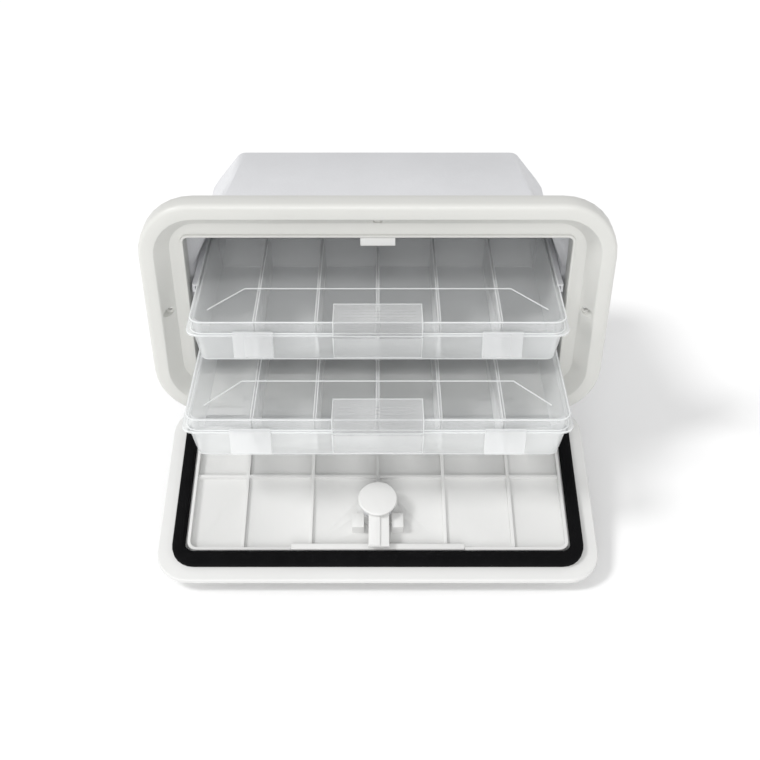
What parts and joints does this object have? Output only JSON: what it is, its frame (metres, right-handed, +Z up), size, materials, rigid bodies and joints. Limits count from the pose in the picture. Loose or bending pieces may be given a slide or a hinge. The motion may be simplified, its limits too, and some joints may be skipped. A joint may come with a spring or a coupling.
{
  "type": "tackle storage hatch",
  "caption": "Flush-mount boat hatch with a drop-down door, seal and cam latch, and lidded divided trays on side runners in a housing behind the bezel.",
  "frame": {"origin": "centre line of the hatch on the flange's back face, on its lower strip, where it bears on the bulkhead", "axes": "+X to the right as seen by someone facing the hatch, +Y into the bulkhead, +Z up"},
  "size_m": [0.45, 0.4346, 0.2863],
  "materials": {
    "white_plastic": "satin moulded",
    "housing_plastic": "fine moulded",
    "clear_plastic": "clear moulded polypropylene",
    "frosted_plastic": "frosted polypropylene",
    "seal_rubber": "matte",
    "stainless_steel": "satin"
  },
  "bodies": {
    "hatch": {"frame": "white_plastic", "housing": "housing_plastic", "keeper": "white_plastic", "keeper_screw_left": "stainless_steel", "keeper_screw_right": "stainless_steel", "hinge_pin_left": "stainless_steel", "hinge_pin_right": "stainless_steel", "upper_left_runner": "housing_plastic", "upper_right_runner": "housing_plastic", "lower_left_runner": "housing_plastic", "lower_right_runner": "housing_plastic", "collar_screw_top_left": "stainless_steel", "collar_screw_top_right": "stainless_steel", "collar_screw_bottom_left": "stainless_steel", "collar_screw_bottom_right": "stainless_steel", "collar_screw_left": "stainless_steel", "collar_screw_right": "stainless_steel", "runner_screw_upper_left_front": "stainless_steel", "runner_screw_upper_left_rear": "stainless_steel", "runner_screw_upper_right_front": "stainless_steel", "runner_screw_upper_right_rear": "stainless_steel", "runner_screw_lower_left_front": "stainless_steel", "runner_screw_lower_left_rear": "stainless_steel", "runner_screw_lower_right_front": "stainless_steel", "runner_screw_lower_right_rear": "stainless_steel"},
    "door": {"door_panel": "white_plastic", "door_seal": "seal_rubber", "door_bar": "white_plastic", "latch_body": "white_plastic", "latch_seal": "seal_rubber", "latch_nut": "housing_plastic"},
    "cam_latch": {"latch_handle": "white_plastic", "latch_spindle": "stainless_steel", "latch_cam": "white_plastic", "cam_screw": "stainless_steel", "cam_cap": "white_plastic"},
    "upper_tray": {"upper_tray_base": "clear_plastic", "upper_tray_lid_pin": "stainless_steel", "upper_tray_divider_1": "clear_plastic", "upper_tray_divider_2": "clear_plastic", "upper_tray_divider_3": "clear_plastic", "upper_tray_divider_4": "clear_plastic", "upper_tray_divider_5": "clear_plastic"},
    "upper_lid": {"upper_tray_lid": "clear_plastic"},
    "upper_left_latch": {"upper_tray_left_latch": "frosted_plastic"},
    "upper_right_latch": {"upper_tray_right_latch": "frosted_plastic"},
    "lower_tray": {"lower_tray_base": "clear_plastic", "lower_tray_lid_pin": "stainless_steel", "lower_tray_divider_1": "clear_plastic", "lower_tray_divider_2": "clear_plastic", "lower_tray_divider_3": "clear_plastic", "lower_tray_divider_4": "clear_plastic", "lower_tray_divider_5": "clear_plastic"},
    "lower_lid": {"lower_tray_lid": "clear_plastic"},
    "lower_left_latch": {"lower_tray_left_latch": "frosted_plastic"},
    "lower_right_latch": {"lower_tray_right_latch": "frosted_plastic"}
  },
  "joints": [
    {"name": "door_hinge", "type": "hinge", "parent": "hatch", "child": "door", "pos_m": [0, -0.0175, -0.015], "axis": [-1, 0, 0], "range_deg": [0, 105.4]},
    {"name": "latch_turn", "type": "hinge", "parent": "door", "child": "cam_latch", "pos_m": [0, -0.14187, -0.04926], "axis": [0, -0.2656, 0.9641], "range_deg": [-90, 0]},
    {"name": "upper_tray_slide", "type": "slide", "parent": "hatch", "child": "upper_tray", "axis": [0, 1, 0], "range_m": [0, 0.1027]},
    {"name": "upper_lid_hinge", "type": "hinge", "parent": "upper_tray", "child": "upper_lid", "pos_m": [0, 0.1084, 0.11569], "axis": [1, 0, 0], "range_deg": [-11, 0]},
    {"name": "upper_left_latch_hinge", "type": "hinge", "parent": "upper_lid", "child": "upper_left_latch", "pos_m": [-0.115, -0.0793, 0.1152], "axis": [1, 0, 0], "range_deg": [-80, 0]},
    {"name": "upper_right_latch_hinge", "type": "hinge", "parent": "upper_lid", "child": "upper_right_latch", "pos_m": [0.115, -0.0793, 0.1152], "axis": [1, 0, 0], "range_deg": [-80, 0]},
    {"name": "lower_tray_slide", "type": "slide", "parent": "hatch", "child": "lower_tray", "axis": [0, 1, 0], "range_m": [0, 0.1712]},
    {"name": "lower_lid_hinge", "type": "hinge", "parent": "lower_tray", "child": "lower_lid", "pos_m": [0, 0.0399, 0.05669], "axis": [1, 0, 0], "range_deg": [-4.5, 0]},
    {"name": "lower_left_latch_hinge", "type": "hinge", "parent": "lower_lid", "child": "lower_left_latch", "pos_m": [-0.115, -0.1478, 0.0562], "axis": [1, 0, 0], "range_deg": [-80, 0]},
    {"name": "lower_right_latch_hinge", "type": "hinge", "parent": "lower_lid", "child": "lower_right_latch", "pos_m": [0.115, -0.1478, 0.0562], "axis": [1, 0, 0], "range_deg": [-80, 0]}
  ],
  "couplings": [
    {"joint": "upper_tray_slide", "follows": "door_hinge", "m_per_rad": 0.055719},
    {"joint": "lower_tray_slide", "follows": "door_hinge", "m_per_rad": 0.092956}
  ]
}
